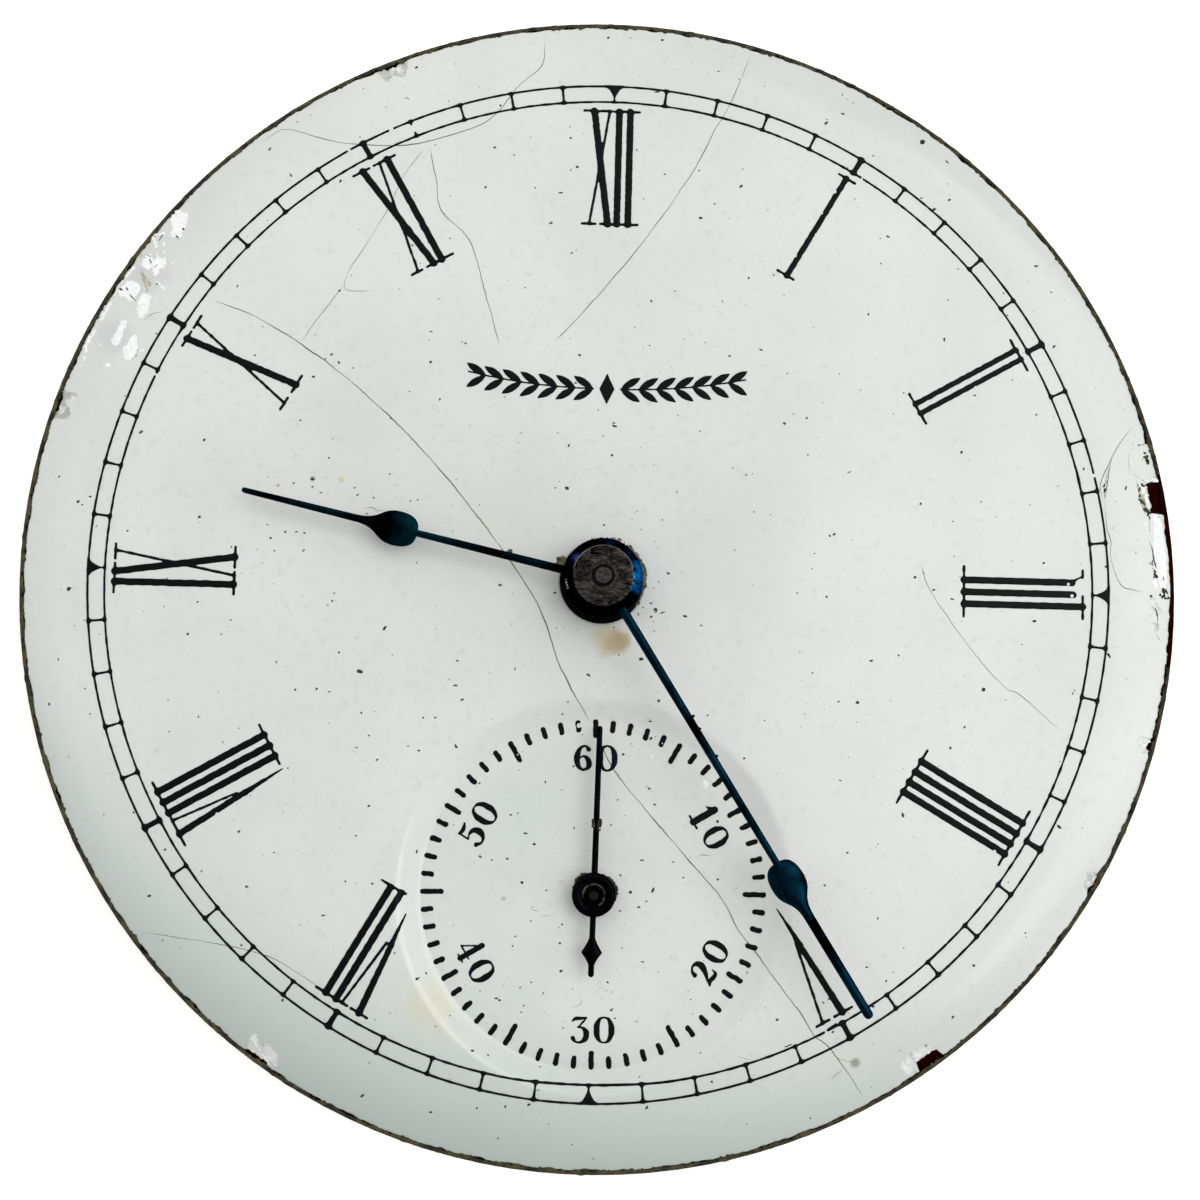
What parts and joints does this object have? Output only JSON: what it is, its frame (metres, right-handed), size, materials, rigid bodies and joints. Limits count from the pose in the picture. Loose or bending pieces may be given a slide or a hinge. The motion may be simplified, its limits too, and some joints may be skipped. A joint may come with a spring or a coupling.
{
  "type": "pocket watch dial",
  "caption": "Round white enamel watch dial with Roman numerals, a sunk seconds dial, blued pear hands, motion work and pillar plate.",
  "frame": {"origin": "middle of the pillar plate's back face, on the axis of the hands", "axes": "+Z out of the dial's face towards the viewer, +Y towards XII, +X towards III"},
  "size_m": [0.0464, 0.0464, 0.0063],
  "materials": {
    "white_enamel": "fired vitreous enamel, glossy",
    "counter_enamel": "fired counter enamel, grey, uneven gloss",
    "black_enamel": "fired black enamel, satin",
    "copper": "fire-darkened copper",
    "soft_solder": "dull grey tin-lead solder",
    "brass": "fine-grained, faintly tarnished",
    "gilt_brass": "matt gilt",
    "bronze": "turned",
    "ruby": "polished ruby",
    "blued_steel": "heat blued, polished",
    "steel": "turned, worn"
  },
  "bodies": {
    "plate_and_dial": {"dial_copper": "copper", "front_enamel": "white_enamel", "counter_enamel": "counter_enamel", "seconds_copper": "copper", "seconds_enamel": "white_enamel", "seconds_counter_enamel": "counter_enamel", "solder_ring": "soft_solder", "dial_foot_1": "copper", "dial_foot_2": "copper", "dial_foot_3": "copper", "dial_foot_screws": "blued_steel", "hour_numerals": "black_enamel", "minute_track": "black_enamel", "seconds_track": "black_enamel", "seconds_figures": "black_enamel", "dial_ornament": "black_enamel", "dial_washer": "brass", "pillar_plate": "gilt_brass", "centre_bush": "bronze", "seconds_jewel": "ruby", "minute_stud": "steel"},
    "minute": {"cannon_pinion": "steel", "centre_arbor": "steel", "minute_hand": "blued_steel"},
    "hour": {"hour_wheel": "brass", "hour_hand": "blued_steel"},
    "minute_wheel_set": {"minute_wheel": "brass", "minute_pinion": "steel"},
    "seconds": {"seconds_hand": "blued_steel", "seconds_pipe": "steel", "seconds_arbor": "steel"}
  },
  "joints": [
    {"name": "minute", "type": "hinge", "parent": "plate_and_dial", "child": "minute", "pos_m": [0, 0, 0], "axis": [0, 0, -1], "continuous": true},
    {"name": "hour", "type": "hinge", "parent": "plate_and_dial", "child": "hour", "pos_m": [0, 0, 0], "axis": [0, 0, -1], "continuous": true},
    {"name": "minute_wheel", "type": "hinge", "parent": "plate_and_dial", "child": "minute_wheel_set", "pos_m": [0.00416, 0.0024, 0], "axis": [0, 0, -1], "continuous": true},
    {"name": "seconds", "type": "hinge", "parent": "plate_and_dial", "child": "seconds", "pos_m": [0, -0.01235, 0], "axis": [0, 0, -1], "continuous": true}
  ],
  "couplings": [
    {"joint": "hour", "follows": "minute", "ratio": 0.083333},
    {"joint": "minute_wheel", "follows": "minute", "ratio": -0.33333}
  ]
}
